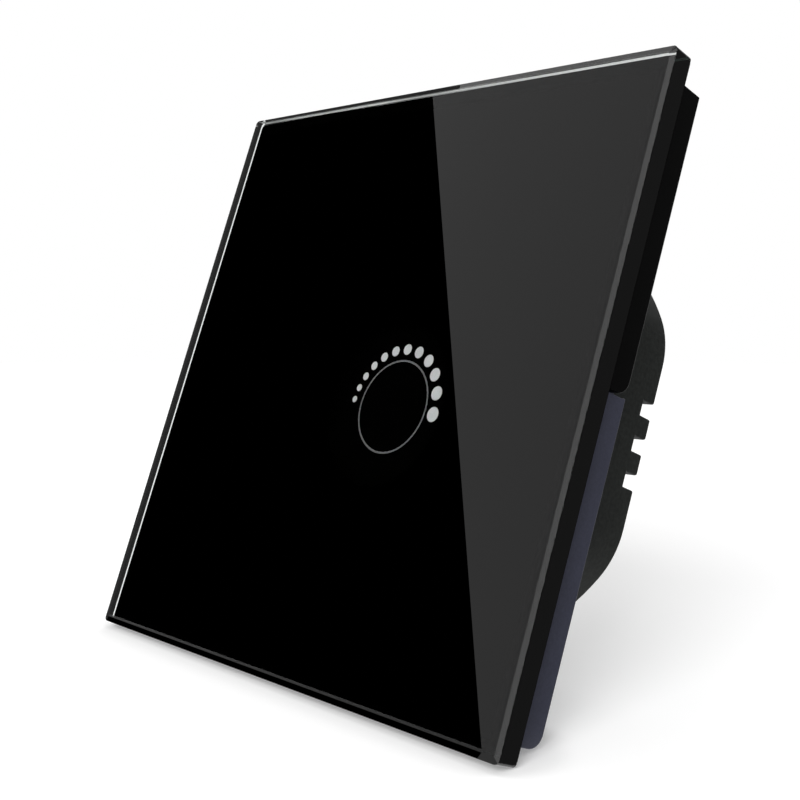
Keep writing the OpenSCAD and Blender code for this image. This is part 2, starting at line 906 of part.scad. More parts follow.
// Four screws from the back of the housing into the base frame's lugs
module housing_screws() {
    head_y = body_depth - head_sink - head_t;
    color("#9a9c9f")
        at_bosses() {
            rod(0, 0, shank_r, cover_y + head_sink, head_y + head_t / 2);
            difference() {
                rod(0, 0, head_r, head_y, head_y + head_t);
                brick(0, 0, 2 * head_r - slot_w, slot_w, head_y + head_t - slot_d, head_y + head_t + cut);
                brick(0, 0, slot_w, 2 * head_r - slot_w, head_y + head_t - slot_d, head_y + head_t + cut);
            }
        }
}

glass_panel();
panel_print();
touch_mark();
panel_tape();
panel_frame();
base_frame();
mounting_plate();
front_cover();
light_guide();
touch_board();
touch_spring();
touch_chip();
indicator_leds();
board_header();
board_spacers();
power_board();
triac();
heat_sink();
triac_screw();
choke();
film_capacitor();
electrolytic_capacitor();
varistor();
fuse();
terminal_block();
contact_bars();
terminal_screw(1);  // terminal_screw_1
terminal_screw(2);  // terminal_screw_2
terminal_screw(3);  // terminal_screw_3
wire_cage(1);  // wire_cage_1
wire_cage(2);  // wire_cage_2
wire_cage(3);  // wire_cage_3
rear_housing();
housing_screws();
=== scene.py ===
# Touch light switch with a square glass panel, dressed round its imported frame.
# X runs to the right seen from the front, Y into the wall and Z up. Sizes are millimetres times MM.
import json
import math

import bmesh
import bpy
import numpy as np
from mathutils import Matrix, Vector


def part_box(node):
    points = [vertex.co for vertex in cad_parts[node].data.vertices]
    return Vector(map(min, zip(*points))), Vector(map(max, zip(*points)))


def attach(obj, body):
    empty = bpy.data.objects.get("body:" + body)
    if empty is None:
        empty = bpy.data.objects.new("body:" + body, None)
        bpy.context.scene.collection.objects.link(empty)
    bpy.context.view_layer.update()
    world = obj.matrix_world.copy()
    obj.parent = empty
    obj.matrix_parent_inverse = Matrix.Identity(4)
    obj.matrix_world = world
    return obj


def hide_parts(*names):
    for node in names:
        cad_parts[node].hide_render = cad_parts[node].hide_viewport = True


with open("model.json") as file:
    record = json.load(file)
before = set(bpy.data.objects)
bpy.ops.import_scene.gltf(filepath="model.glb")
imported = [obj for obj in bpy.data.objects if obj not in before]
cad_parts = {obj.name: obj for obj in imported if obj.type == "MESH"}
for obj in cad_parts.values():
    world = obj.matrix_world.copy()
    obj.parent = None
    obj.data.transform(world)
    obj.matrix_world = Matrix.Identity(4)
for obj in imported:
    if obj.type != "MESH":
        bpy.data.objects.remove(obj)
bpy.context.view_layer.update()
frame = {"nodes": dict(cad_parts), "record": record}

# Rear housing
# A round cup of black glass-filled nylon with two flats, moulded in one piece with its bosses, posts
# and vent notches. It stands in the wall box, and four screws pull it against the mounting plate.
MM = 0.001
EASED_FROM, EASED_ROUNDS = math.radians(35), 2
FLAT_WITHIN = math.radians(0.4)
MERGED_WITHIN = 1e-3 * MM
# how far the grain of a mould spreads the roughness, and the part of its noise that flecks the colour
GRAIN_GLOSS, GRAIN_LIMITS = 0.07, (0.3, 0.7)
body_of = {n: body for body, names in frame["record"]["behaviour"]["bodies"].items() for n in names}


def linear(colour):
    """sRGB hex to linear: a channel c is ((c + 0.055) / 1.055) ** 2.4, or c / 12.92 where it is dark."""
    c = np.array([int(colour[i:i + 2], 16) for i in (1, 3, 5)]) / 255
    light = ((c + 0.055) / 1.055) ** 2.4
    return (*np.where(c > 0.04045, light, c / 12.92).tolist(), 1.0)


def add(tree, kind, inputs=None, **settings):
    """Adds a node: settings are its own properties, and each input is a constant or a node's output. A Mix
    node mixes by input 0: numbers from inputs 2 and 3 to output 0, or colours from 6 and 7 to output 2."""
    node = tree.nodes.new(kind)
    for name, value in settings.items():
        setattr(node, name, value)
    for socket, value in (inputs or {}).items():
        if isinstance(value, bpy.types.NodeSocket):
            tree.links.new(value, node.inputs[socket])
        else:
            node.inputs[socket].default_value = value
    return node


def new_material(name):
    """A material with its node tree and its shader, and the place of a point on the piece in metres."""
    made = bpy.data.materials.new(name)
    made.use_nodes = True
    tree = made.node_tree
    place = add(tree, "ShaderNodeTexCoord").outputs["Object"]
    return made, tree, tree.nodes["Principled BSDF"], place


def clouded(tree, place, size, dark, light):
    """A colour that drifts between two shades in soft clouds of the given size in mm."""
    cloud = add(tree, "ShaderNodeTexNoise", {"Vector": place, "Scale": 1 / (size * MM), "Detail": 3.0})
    shades = {0: cloud.outputs["Fac"], 6: linear(dark), 7: linear(light)}
    return add(tree, "ShaderNodeMix", shades, data_type="RGBA").outputs[2]


def moulded(name, dark, light, rough, grain, depth, flow=9.0, specular=0.5, fleck=0.1):
    """Moulded plastic. The spark-eroded mould leaves a grain of the given size and depth in mm: a noise
    that spreads the roughness by GRAIN_GLOSS and the colour by the share fleck. The flow of the melt
    leaves faint clouds, flow mm wide, between the dark and the light shade."""
    made, tree, shader, place = new_material(name)
    noise = {"Vector": place, "Scale": 1 / (grain * MM), "Detail": 2.0}
    pits = add(tree, "ShaderNodeTexNoise", noise).outputs["Fac"]
    spread = {"Value": pits, "To Min": rough - GRAIN_GLOSS, "To Max": rough + GRAIN_GLOSS}
    gloss = add(tree, "ShaderNodeMapRange", spread)
    shares = {"Value": pits, "From Min": GRAIN_LIMITS[0], "From Max": GRAIN_LIMITS[1],
              "To Min": 1 - fleck, "To Max": 1 + fleck}
    flecks = add(tree, "ShaderNodeMapRange", shares)
    shade = {0: clouded(tree, place, flow, dark, light), "Scale": flecks.outputs["Result"]}
    colour = add(tree, "ShaderNodeVectorMath", shade, operation="SCALE")
    relief = add(tree, "ShaderNodeBump", {"Height": pits, "Distance": depth * MM})
    tree.links.new(colour.outputs[0], shader.inputs["Base Color"])
    tree.links.new(gloss.outputs["Result"], shader.inputs["Roughness"])
    tree.links.new(relief.outputs["Normal"], shader.inputs["Normal"])
    shader.inputs["Specular IOR Level"].default_value = specular
    return made


def eased_skin(node, name):
    """The node's own faces as one closed skin: equal corners merged, and triangles in one plane joined."""
    source = frame["nodes"][node].data
    corners = np.empty(len(source.vertices) * 3, np.float32)
    source.vertices.foreach_get("co", corners)
    faces = np.empty(len(source.polygons) * 3, np.int32)
    source.polygons.foreach_get("vertices", faces)
    whole = np.round(corners.reshape(-1, 3) / MERGED_WITHIN)
    points, index = np.unique(whole, axis=0, return_inverse=True)
    faces = index.reshape(-1)[faces.reshape(-1, 3)]
    kept = (faces != np.roll(faces, 1, axis=1)).all(axis=1)
    skin = bpy.data.meshes.new(name)
    skin.from_pydata(points * MERGED_WITHIN, [], faces[kept].tolist())
    work = bmesh.new()
    work.from_mesh(skin)
    bmesh.ops.dissolve_limit(work, angle_limit=FLAT_WITHIN, verts=work.verts, edges=work.edges)
    work.to_mesh(skin)
    work.free()
    return skin


def place_piece(name, mesh, finishes, *nodes):
    """Puts a mesh into the scene as a piece that stands for the nodes and moves with their body."""
    piece = bpy.data.objects.new(name, mesh)
    bpy.context.scene.collection.objects.link(piece)
    for finish in finishes:
        mesh.materials.append(finish)
    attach(piece, body_of[nodes[0]])
    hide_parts(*nodes)
    return piece


def dress(node, name, *finishes, edge):
    """The node's shape in its real finish, with each sharp edge rounded by a narrow Bevel, edge mm wide."""
    piece = place_piece(name, eased_skin(node, name), finishes, node)
    piece.data.shade_smooth()
    bevel = piece.modifiers.new("eased_edges", "BEVEL")
    bevel.width = edge * MM
    bevel.segments = EASED_ROUNDS
    bevel.limit_method = "ANGLE"
    bevel.angle_limit = EASED_FROM
    bevel.use_clamp_overlap = False
    bevel.harden_normals = True
    return piece


# Nylon from a fine-textured mould: a soft dull sheen, almost black with a trace of green. Real grain is
# near 0.1 mm wide. On all the mouldings it is drawn coarser, so that it shows.
black_nylon = moulded("black_nylon", "#242625", "#2c2e2c", rough=0.6, grain=0.5, depth=0.03,
                      specular=0.15, fleck=0.22)
dress("rear_housing", "housing_cup", black_nylon, edge=0.25)

# Power board
# Glass laminate with green solder resist, cut to the cup and notched round the screw bosses. It rests
# on the cup's posts and carries the mains parts.
TRACE_STEP, TRACE_PATCH, TRACE_RISE = 1.5, 8.0, 0.035
PATCH_LIMIT, TRACE_LIMIT = 0.5, 0.62
RESIST_ROUGH = 0.32
RIM_MARGIN = 0.05


def laminate(name, bare, copper):
    """Solder resist over copper: a trace is where a wave, TRACE_STEP long, passes TRACE_LIMIT. The waves
    run along X in some patches, about TRACE_PATCH wide, and along Z in the others."""
    made, tree, shader, place = new_material(name)
    noise = {"Vector": place, "Scale": 1 / (TRACE_PATCH * MM), "Detail": 0.0}
    patch = add(tree, "ShaderNodeTexNoise", noise).outputs["Fac"]
    turn = add(tree, "ShaderNodeMath", {0: patch, 1: PATCH_LIMIT}, operation="GREATER_THAN").outputs[0]
    # a wave of scale 1 repeats every pi / 10 units
    step = {"Vector": place, "Scale": math.pi / 10 / (TRACE_STEP * MM)}
    across = add(tree, "ShaderNodeTexWave", step, bands_direction="X").outputs["Fac"]
    along = add(tree, "ShaderNodeTexWave", step, bands_direction="Z").outputs["Fac"]
    lines = add(tree, "ShaderNodeMix", {0: turn, 2: across, 3: along}).outputs[0]
    trace = add(tree, "ShaderNodeMath", {0: lines, 1: TRACE_LIMIT}, operation="GREATER_THAN").outputs[0]
    resist = add(tree, "ShaderNodeMix", {0: trace, 6: linear(bare), 7: linear(copper)}, data_type="RGBA")
    relief = add(tree, "ShaderNodeBump", {"Height": trace, "Distance": TRACE_RISE * MM})
    tree.links.new(resist.outputs[2], shader.inputs["Base Color"])
    tree.links.new(relief.outputs["Normal"], shader.inputs["Normal"])
    shader.inputs["Roughness"].default_value = RESIST_ROUGH
    return made


def paint_faces(piece, inside):
    """Gives the second finish to the faces whose middle, in mm, the test picks."""
    middles = np.empty(len(piece.data.polygons) * 3, np.float32)
    piece.data.polygons.foreach_get("center", middles)
    chosen = inside(*middles.reshape(-1, 3).T / MM).astype(np.int32)
    piece.data.polygons.foreach_set("material_index", chosen)


def dress_board(node, name):
    """A board in solder resist, with the bare glass cloth on its sawn rim."""
    low, high = (corner.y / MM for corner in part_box(node))
    board = dress(node, name, green_board, sawn_cloth, edge=0.08)
    paint_faces(board, lambda x, y, z: (y > low + RIM_MARGIN) & (y < high - RIM_MARGIN))


# Solder resist: a thin glossy green lacquer, lighter along the copper under it. The traces are drawn
# coarser than real ones, so that they show.
green_board = laminate("solder_resist_on_laminate", bare="#17492a", copper="#2b7445")
# Sawn laminate: a dry, straw-coloured edge with the pale ends of the glass threads.
sawn_cloth = moulded("sawn_glass_cloth", "#8d8557", "#b3aa78", rough=0.6, grain=0.2, depth=0.01, flow=0.4)
dress_board("power_board", "mains_board")

# Triac, heat sink and their screw
# The triac lies flat with its tin-plated tab under a bent aluminium plate, and one screw and nut clamp
# the two together. Its three leads go down to the board.
TRIAC_BODY, TRIAC_MARGIN = (8.5, 17.5), 0.01
# how far the lines of a metal spread the roughness, how deep they are, and how wide its clouds are
LINE_GLOSS, LINE_DEPTH, METAL_CLOUD = 0.1, 0.004, 6.0


def metal(name, dark, light, rough, grain, finer=(1, 1, 1)):
    """Bare metal. The rolling or the plating leaves fine lines: a noise of the given grain in mm, finer
    along X, Y and Z by the given factors, that spreads the roughness by LINE_GLOSS. The tone drifts in
    soft clouds between two shades."""
    made, tree, shader, place = new_material(name)
    drawn = add(tree, "ShaderNodeMapping", {"Vector": place, "Scale": finer}).outputs[0]
    noise = {"Vector": drawn, "Scale": 1 / (grain * MM), "Detail": 4.0}
    lines = add(tree, "ShaderNodeTexNoise", noise).outputs["Fac"]
    spread = {"Value": lines, "To Min": rough - LINE_GLOSS, "To Max": rough + LINE_GLOSS}
    gloss = add(tree, "ShaderNodeMapRange", spread)
    relief = add(tree, "ShaderNodeBump", {"Height": lines, "Distance": LINE_DEPTH * MM})
    tree.links.new(clouded(tree, place, METAL_CLOUD, dark, light), shader.inputs["Base Color"])
    tree.links.new(gloss.outputs["Result"], shader.inputs["Roughness"])
    tree.links.new(relief.outputs["Normal"], shader.inputs["Normal"])
    shader.inputs["Metallic"].default_value = 1.0
    return made


# Epoxy filled with quartz: an even, dull black.
chip_epoxy = moulded("moulded_epoxy", "#131313", "#1b1b1b", rough=0.55, grain=0.15, depth=0.008)
# Tin from a bath: a soft, slightly blurred white shine. Real plating and rolling lines are finer than
# 0.05 mm. On all the metals they are drawn coarser, so that they show.
tinned = metal("tin_plated_copper", "#b9bbbc", "#cfd0cf", rough=0.35, grain=0.3)
# Aluminium as it leaves the rolls: a cool grey shine, drawn out along Z.
rolled_aluminium = metal("rolled_aluminium", "#b8bcc0", "#c8cbce", rough=0.36, grain=0.5,
                         finer=(8, 8, 0.6))
# Bright zinc: a bluish white shine that is a little cloudy.
zinc_screw = metal("zinc_plated_steel", "#a9abae", "#bfc0c2", rough=0.3, grain=0.4)
triac = dress("triac", "triac_case", chip_epoxy, tinned, edge=0.15)
paint_faces(triac, lambda x, y, z: (z > TRIAC_BODY[1] + TRIAC_MARGIN) | (z < TRIAC_BODY[0] - TRIAC_MARGIN))
dress("heat_sink", "heat_sink_plate", rolled_aluminium, edge=0.12)
dress("triac_screw", "triac_screw_and_nut", zinc_screw, edge=0.12)

# Choke
# A ring core of pressed iron powder under one layer of lacquered copper wire. The wire's turns are
# drawn by carrying a circle along the winding's path.
CHOKE_TURNS, CHOKE_WIRE = 22, 0.8
CHOKE_WIDE, CHOKE_CORNER = 4.0, 4.0
TURN_POINTS, WIRE_SIDES = 40, 8
CORE_POINTS, CORE_SIDES = 64, 24


def closed_mesh(name, rings, capped):
    """A closed skin through rows of points, each a loop: quads join each row to the next. The first and
    the last row get a face each when capped, and are joined to each other when not."""
    rows, count = rings.shape[:2]
    number = np.arange(rows * count).reshape(rows, count)
    caps = [number[0].tolist(), number[-1, ::-1].tolist()] if capped else []
    number = np.concatenate([number, number[:, :1]], axis=1)
    if not capped:
        number = np.concatenate([number, number[:1]], axis=0)
    quads = np.stack([number[:-1, :-1], number[1:, :-1], number[1:, 1:], number[:-1, 1:]], axis=-1)
    mesh = bpy.data.meshes.new(name)
    mesh.from_pydata(rings.reshape(-1, 3), [], quads.reshape(-1, 4).tolist() + caps)
    mesh.validate()
    return mesh


def tube(name, path, radius, across, sides, closed=False):
    """A round wire: at each point of the path a circle stands square to it, turned from the direction
    across, which is never along the path."""
    ahead = np.roll(path, -1, axis=0) - np.roll(path, 1, axis=0) if closed else np.gradient(path, axis=0)
    ahead /= np.linalg.norm(ahead, axis=1, keepdims=True)
    side = across - (across * ahead).sum(1, keepdims=True) * ahead
    side /= np.linalg.norm(side, axis=1, keepdims=True)
    other = np.cross(ahead, side)
    turn = np.linspace(0, 2 * np.pi, sides, endpoint=False)[None, :, None]
    rings = path[:, None] + radius * (np.cos(turn) * other[:, None] + np.sin(turn) * side[:, None])
    mesh = closed_mesh(name, rings, capped=not closed)
    mesh.shade_smooth()
    return mesh


def ring_section(turn, half_w, half_h):
    """A rounded rectangle as a superellipse: |u / half_w| ** n + |v / half_h| ** n = 1, by its angle."""
    c, s = np.cos(turn), np.sin(turn)
    size = (np.abs(c) ** CHOKE_CORNER + np.abs(s) ** CHOKE_CORNER) ** (-1 / CHOKE_CORNER)
    return half_w * size * c, half_h * size * s


choke_low, choke_high = (np.array(corner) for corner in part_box("choke"))
choke_mid = (choke_low + choke_high) / 2
choke_half_w = CHOKE_WIDE / 2 * MM
choke_half_h = (choke_high[1] - choke_low[1]) / 2
choke_mean_r = (choke_high[0] - choke_low[0]) / 2 - choke_half_w


def round_choke(way, u, v):
    """Places a section point (u outwards, v along Y) at an angle round the choke's axis."""
    out = choke_mean_r + u
    return choke_mid + np.stack([out * np.cos(way), v, out * np.sin(way)], axis=-1)


wire_r = CHOKE_WIRE / 2 * MM
way = np.linspace(0, 2 * np.pi, CHOKE_TURNS * TURN_POINTS, endpoint=False)
u, v = ring_section(CHOKE_TURNS * way, choke_half_w - wire_r, choke_half_h - wire_r)
winding_path = round_choke(way, u, v)
outwards = winding_path - round_choke(way, 0 * u, 0 * v)
winding = tube("choke_winding", winding_path, wire_r, outwards, WIRE_SIDES, closed=True)
core_ways = np.linspace(0, 2 * np.pi, CORE_POINTS, endpoint=False)
core_turns = np.linspace(0, 2 * np.pi, CORE_SIDES, endpoint=False)
core_way, core_turn = np.meshgrid(core_ways, core_turns, indexing="ij")
core_u, core_v = ring_section(core_turn, choke_half_w - 2 * wire_r, choke_half_h - 2 * wire_r)
core = closed_mesh("choke_core", round_choke(core_way, core_u, core_v), capped=False)
core.shade_smooth()
# Copper under clear lacquer: a red-brown shine along each turn.
enamelled_copper = metal("enamelled_copper", "#8a4a20", "#a65c2a", rough=0.28, grain=0.3)
# Pressed iron powder in a coat of paint: a dull, slightly gritty olive green.
powder_core = moulded("pressed_iron_powder", "#3c4a2c", "#48573a", rough=0.7, grain=0.2, depth=0.02)
place_piece("choke_winding", winding, [enamelled_copper], "choke")
place_piece("choke_core", core, [powder_core], "choke")

# Film capacitor, electrolytic capacitor, varistor and fuse
# Bought parts that stand on the power board: a moulded case, an aluminium can in a shrunk sleeve, a
# disc dipped in epoxy and a round moulded case.

# Polyester from a polished mould: a shiny mustard yellow.
film_case = moulded("moulded_case", "#a97d26", "#bd9032", rough=0.3, grain=0.4, depth=0.006)
# Vinyl shrunk on the can: a smooth, shiny blue-black.
can_sleeve = moulded("shrunk_sleeve", "#262a35", "#2f3440", rough=0.25, grain=0.6, depth=0.004)
# Epoxy dried after the dip: a glossy blue with the soft dimples of the coat.
varistor_coat = moulded("dipped_epoxy", "#27568f", "#3064a8", rough=0.22, grain=1.2, depth=0.02)
# Hard thermoset: a satin brown-black.
fuse_case = moulded("fuse_case", "#33251e", "#3e2d25", rough=0.4, grain=0.3, depth=0.008)
dress("film_capacitor", "film_capacitor_case", film_case, edge=0.5)
dress("electrolytic_capacitor", "electrolytic_capacitor_can", can_sleeve, edge=0.12)
dress("varistor", "varistor_disc", varistor_coat, edge=0.12)
dress("fuse", "fuse_body", fuse_case, edge=0.4)

# Terminals
# A block of grey nylon with three chambers. In each a brass cage hangs on a slotted screw, and closes
# on the wire and the contact bar as the screw turns.
POLES = (1, 2, 3)
# Grey nylon from an eroded mould: satin, darker than the metal in it.
terminal_nylon = moulded("terminal_nylon", "#2a2d31", "#34373b", rough=0.45, grain=0.3, depth=0.01)
# Brass strip: a warm yellow shine with the lines of the rolling across Z.
brass = metal("rolled_brass", "#b8924a", "#cfa95f", rough=0.3, grain=0.4, finer=(1, 1, 6))
dress("terminal_block", "terminal_housing", terminal_nylon, edge=0.12)
dress("contact_bars", "contact_bar_set", brass, edge=0.08)
for pole in POLES:
    dress(f"wire_cage_{pole}", f"wire_cage_{pole}_frame", brass, edge=0.06)
    dress(f"terminal_screw_{pole}", f"terminal_screw_{pole}_slotted", zinc_screw, edge=0.08)

# Touch board with its parts
# The sensor board sits on four white sleeves over the power board, and a black header joins the two.
# Its chip and its four lights are soldered to the front.

# Black nylon: satin, and as dark as the chip.
header_nylon = moulded("header_nylon", "#161616", "#1e1e1e", rough=0.5, grain=0.3, depth=0.008)
# Undyed nylon: a creamy white with a soft shine.
white_nylon = moulded("white_nylon", "#dedbd0", "#ebe9e0", rough=0.4, grain=0.4, depth=0.006)
# Phosphor in clear resin: pale yellow and glossy.
led_resin = moulded("led_resin", "#e9e3c4", "#f4f0de", rough=0.25, grain=0.5, depth=0.004)
dress("board_spacers", "board_sleeves", white_nylon, edge=0.1)
dress("board_header", "board_header_strip", header_nylon, edge=0.15)
dress_board("touch_board", "sensor_board")
dress("touch_chip", "sensor_chip", chip_epoxy, edge=0.1)
dress("indicator_leds", "indicator_lights", led_resin, edge=0.1)

# Touch spring
# A coil of nickel-plated wire, soldered to the sensor board and pressed against the back of the panel,
# with a flat turn at each end.
SPRING_WIRE, SPRING_TURNS, FLAT_TURNS = 0.5, 5.5, 0.75
SPRING_POINTS, SPRING_SIDES = 320, 12
spring_low, spring_high = (np.array(corner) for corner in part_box("touch_spring"))
coil_r = (spring_high[0] - spring_low[0] - SPRING_WIRE * MM) / 2
coil_rise = spring_high[1] - spring_low[1] - SPRING_WIRE * MM
coil_turn = np.linspace(0, SPRING_TURNS, SPRING_POINTS)
risen = np.clip((coil_turn - FLAT_TURNS) / (SPRING_TURNS - 2 * FLAT_TURNS), 0, 1)
coil_angle = 2 * np.pi * coil_turn
coil_out = np.stack([np.cos(coil_angle), 0 * coil_angle, np.sin(coil_angle)], axis=1)
coil_path = (spring_low + spring_high) / 2 + coil_r * coil_out
coil_path[:, 1] = spring_low[1] + SPRING_WIRE / 2 * MM + risen * coil_rise
coil = tube("touch_spring_coil", coil_path, SPRING_WIRE / 2 * MM, coil_out, SPRING_SIDES)
# Nickel: a bright, warm grey, with one narrow highlight along each turn.
nickel_wire = metal("nickel_plated_wire", "#b4b1aa", "#cdcac2", rough=0.24, grain=0.3)
place_piece("touch_spring_coil", coil, [nickel_wire], "touch_spring")

# Mounting plate
# A square of zinc-plated steel, blanked with its window and holes, between the base frame and the cup.
# Two screws through it hold the switch to the wall box.

# Zinc on rolled sheet: a dull silver shine, with faint lines along Z.
zinc_plate = metal("zinc_plated_sheet", "#a2a6a9", "#b9bcbd", rough=0.38, grain=0.8, finer=(1, 1, 0.15))
dress("mounting_plate", "steel_plate", zinc_plate, edge=0.1)

# Base frame
# A shallow tray of slate-coloured polycarbonate with a window for the electronics. Its lower half shows
# at the sides, below the end of the panel's skirt.

# Polycarbonate from a fine mould: an even dark blue-grey with a weak, wide sheen.
slate_polycarbonate = moulded("slate_polycarbonate", "#373845", "#3d3f4e", rough=0.5, grain=0.3,
                              depth=0.008, flow=12.0, specular=0.2)
dress("base_frame", "base_tray", slate_polycarbonate, edge=0.2)

# Front cover and light guide
# A thin black cover closes the window and holds the sensor board down. A clear acrylic ring snapped
# into it carries the light of the indicator lights to the mark.
WAVE_WIDTH, TINT_CLOUD = 14.0, 20.0


def clear(name, tint, ior, rough):
    """A clear solid: a smooth surface whose roughness drifts from none to rough in waves WAVE_WIDTH wide,
    and light bent at its index."""
    made, tree, shader, place = new_material(name)
    noise = {"Vector": place, "Scale": 1 / (WAVE_WIDTH * MM), "Detail": 1.0}
    waves = add(tree, "ShaderNodeTexNoise", noise).outputs["Fac"]
    gloss = add(tree, "ShaderNodeMapRange", {"Value": waves, "To Min": 0.0, "To Max": rough})
    tree.links.new(gloss.outputs["Result"], shader.inputs["Roughness"])
    tree.links.new(clouded(tree, place, TINT_CLOUD, *tint), shader.inputs["Base Color"])
    shader.inputs["IOR"].default_value = ior
    shader.inputs["Transmission Weight"].default_value = 1.0
    return made


# ABS from an eroded mould: a plain satin black.
cover_abs = moulded("cover_abs", "#131313", "#191919", rough=0.5, grain=0.25, depth=0.01)
# Polished acrylic: as clear as water, with bright edges.
clear_acrylic = clear("clear_acrylic", ("#f2f5f5", "#fafcfc"), ior=1.49, rough=0.03)
dress("front_cover", "inner_cover", cover_abs, edge=0.15)
dress("light_guide", "light_guide_ring", clear_acrylic, edge=0.12)

# Housing screws
# Four cross-slot screws sunk in the back of the cup. They cut their thread in the base frame's lugs and
# hold the cup, the plate and the tray together.
dress("housing_screws", "housing_screw_set", zinc_screw, edge=0.1)

# Panel frame
# The glass's carrier, moulded in black semi-gloss ABS: a flat ring, a skirt over the upper half of the
# sides and four tongues that snap into the base frame.

# ABS from a fine-ground mould: a deep black with a weak, blurred reflection.
black_abs = moulded("black_abs", "#040404", "#080808", rough=0.34, grain=0.3, depth=0.005, specular=0.1)
dress("panel_frame", "panel_carrier", black_abs, edge=0.15)

# Foam tape
# Black double-sided foam, cut from the sheet as a flat ring. It sticks the glass to the carrier.

# Foam with open cells: soot black with no shine.
foam = moulded("black_foam", "#151515", "#232323", rough=0.85, grain=0.35, depth=0.06)
dress("panel_tape", "foam_tape", foam, edge=0.08)

# Print on the glass
# Two coats of ink screened on the back of the glass: black all over, and light grey in the dots that
# grow clockwise and, as a half-tone, in the ring. Ink in contact with glass has no gloss of its own.
RING_OUTER = 6.3
MESH_STEP, INK_ROUGH, INK_CLOUD = 0.35, (0.7, 0.9), 5.0
guide_low, guide_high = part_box("light_guide")
mark_middle = (guide_low + guide_high) / 2
mark_middle.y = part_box("touch_mark")[0].y


def ink(name, dark, light, ring):
    """Screen ink: an even matt coat whose roughness shows the mesh, drawn at MESH_STEP and coarser than a
    real one, so that it shows. Up to RING_OUTER from the middle of the mark it has the ring's shade."""
    made, tree, shader, place = new_material(name)
    noise = {"Vector": place, "Scale": 1 / (MESH_STEP * MM), "Detail": 1.0}
    threads = add(tree, "ShaderNodeTexNoise", noise).outputs["Fac"]
    spread = {"Value": threads, "To Min": INK_ROUGH[0], "To Max": INK_ROUGH[1]}
    gloss = add(tree, "ShaderNodeMapRange", spread)
    reach = add(tree, "ShaderNodeVectorMath", {0: place, 1: mark_middle}, operation="DISTANCE")
    inside = {0: reach.outputs["Value"], 1: RING_OUTER * MM}
    in_ring = add(tree, "ShaderNodeMath", inside, operation="LESS_THAN").outputs[0]
    shades = {0: in_ring, 6: clouded(tree, place, INK_CLOUD, dark, light), 7: linear(ring)}
    coat = add(tree, "ShaderNodeMix", shades, data_type="RGBA")
    tree.links.new(gloss.outputs["Result"], shader.inputs["Roughness"])
    tree.links.new(coat.outputs[2], shader.inputs["Base Color"])
    shader.inputs["Specular IOR Level"].default_value = 0.0
    return made


# Black ink: the depth that makes the front a dark mirror. Light grey ink: soft, even dots, and a ring
# that looks darker because its half-tone lets the black through.
black_ink = ink("black_screen_ink", "#010101", "#030303", ring="#020202")
grey_ink = ink("light_grey_screen_ink", "#e8e9eb", "#f0f1f2", ring="#8c8e92")
for node, finish in (("panel_print", black_ink), ("touch_mark", grey_ink)):
    frame["nodes"][node].data.materials.clear()
    frame["nodes"][node].data.materials.append(finish)

# Glass panel
# Polished float glass with a narrow bevel round the front, straight ground sides and a matt arris round
# the back, where the edge was taken off with a stone. The ink lies in contact with its back.
BEVEL, BEVEL_BLEND, ARRIS = (0.9, 0.1), 0.17, 0.2
GLASS_CORNER, CORNER_LEAST, CORNER_POINTS = 0.6, 0.1, 8
INK_CONTACT = 0.02
GLASS_INDEX = 1.5
# the middle, in x and z, of the rim that light comes through, set off the plate's middle so that the bright
# line is painted wider at the left and top, where the camera sees it, and the soft borders of the clear
# places; below the foot's border the glass stays black, painted shade where it stands on the floor
CLEAR_MIDDLE = (0.9, -0.4)
CLEAR_RIM, PAINTED_FOOT_SHADE, CLEAR_ROUND_MARK = (36.9, 38.5), (-39.2, -38.8), (11.6, 10.4)
FACE_TINT = ("#f6faf8", "#fbfdfc")
SIDE_TINT = ("#080e0c", "#0b1310")
ARRIS_TINT = ("#f0f4f2", "#f8faf9")
STONED_ROUGH, STONED_WHITE = 0.9, 0.02
glass_low, glass_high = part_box("glass_panel")
glass_back = glass_high.y + INK_CONTACT * MM


def square_ring(inset, y):
    """A square with round corners: each corner is a quarter arc about its own centre, drawn in by inset."""
    corner = max(GLASS_CORNER - inset, CORNER_LEAST) * MM
    turn = np.linspace(0, np.pi / 2, CORNER_POINTS) + np.arange(4)[:, None] * np.pi / 2
    centre = glass_high.x - inset * MM - corner
    x = centre * np.array([1, -1, -1, 1])[:, None] + corner * np.cos(turn)
    z = centre * np.array([1, 1, -1, -1])[:, None] + corner * np.sin(turn)
    return np.stack([x.ravel(), np.full(x.size, y), z.ravel()], axis=1)


# the plate's section as insets and depths: polishing blends the face into the bevel, and the side and the
# arris follow
blend_depth = BEVEL[1] * BEVEL_BLEND / BEVEL[0]
glass_section = [(BEVEL[0] + BEVEL_BLEND, glass_low.y),
                 (BEVEL[0] - BEVEL_BLEND, glass_low.y + blend_depth * MM),
                 (0, glass_low.y + BEVEL[1] * MM), (0, glass_back - ARRIS * MM), (ARRIS, glass_back)]
glass_rings = np.array([square_ring(inset, y) for inset, y in glass_section])
glass_mesh = closed_mesh("glass_plate", glass_rings, capped=True)


